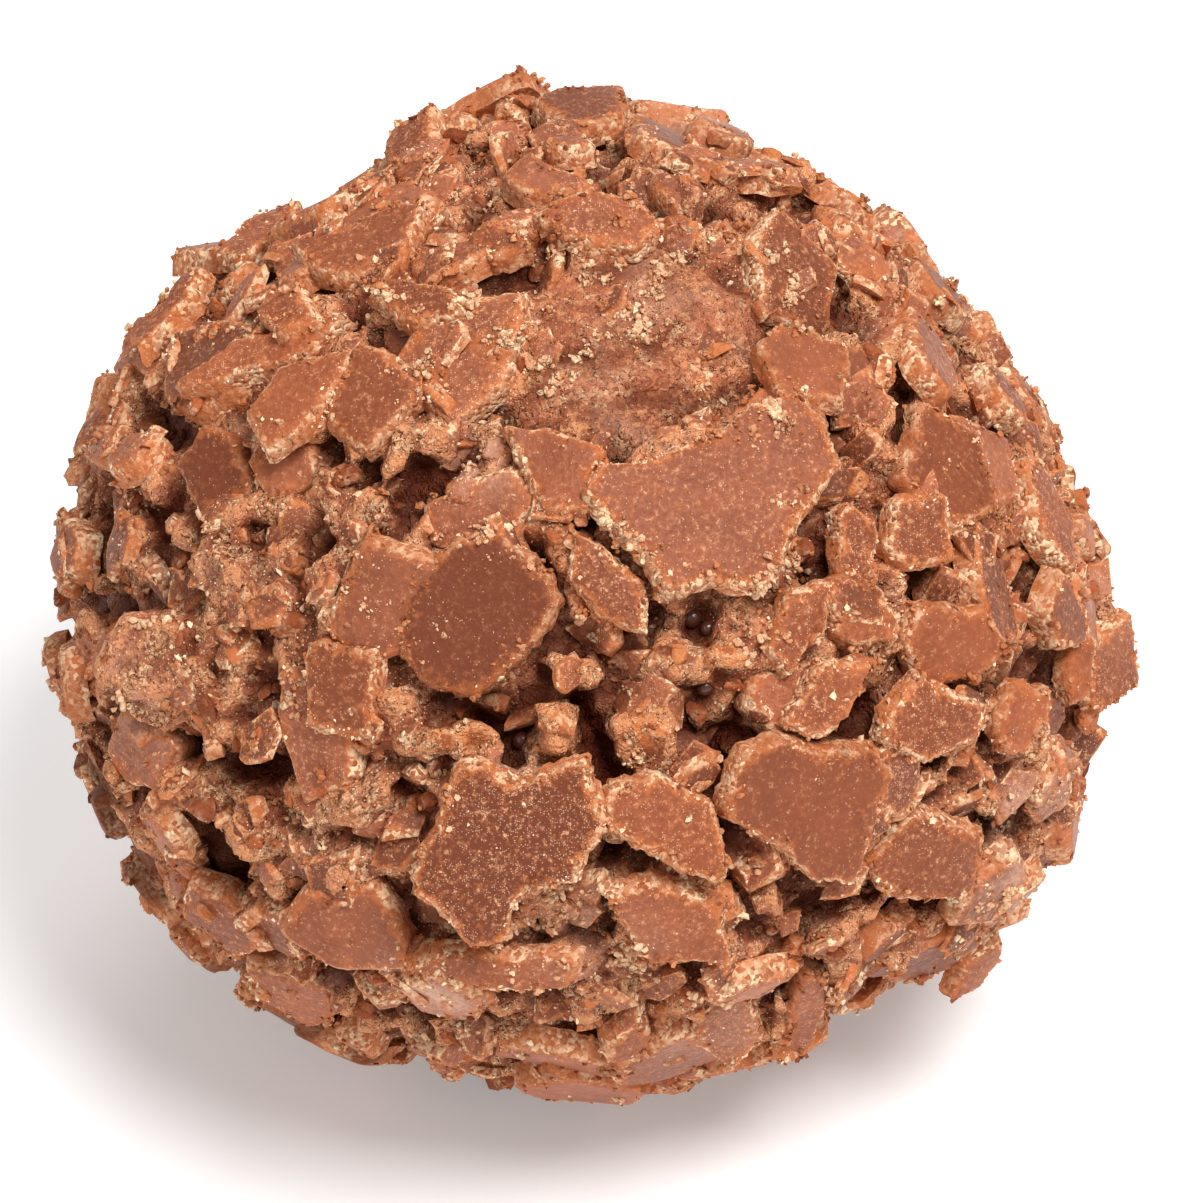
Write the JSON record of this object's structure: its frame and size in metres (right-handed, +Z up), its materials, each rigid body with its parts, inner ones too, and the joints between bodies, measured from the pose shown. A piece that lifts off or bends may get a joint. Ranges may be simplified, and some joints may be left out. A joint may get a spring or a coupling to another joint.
{
  "type": "chocolate truffle",
  "caption": "Round milk chocolate truffle rolled in broken chocolate flakes, craggy all over, resting on a small flat spot.",
  "frame": {"origin": "on the floor, in the middle of the small flat spot that the truffle rests on", "axes": "+Z up; -Y towards the show face, which has the largest flakes and looks forward and up; +X to the right of someone who looks at that face"},
  "size_m": [0.0301, 0.0295, 0.0264],
  "materials": {
    "milk_chocolate": "satin, dusty with fine cream crumbs"
  },
  "bodies": {
    "root": {"truffle": "milk_chocolate"}
  },
  "joints": []
}
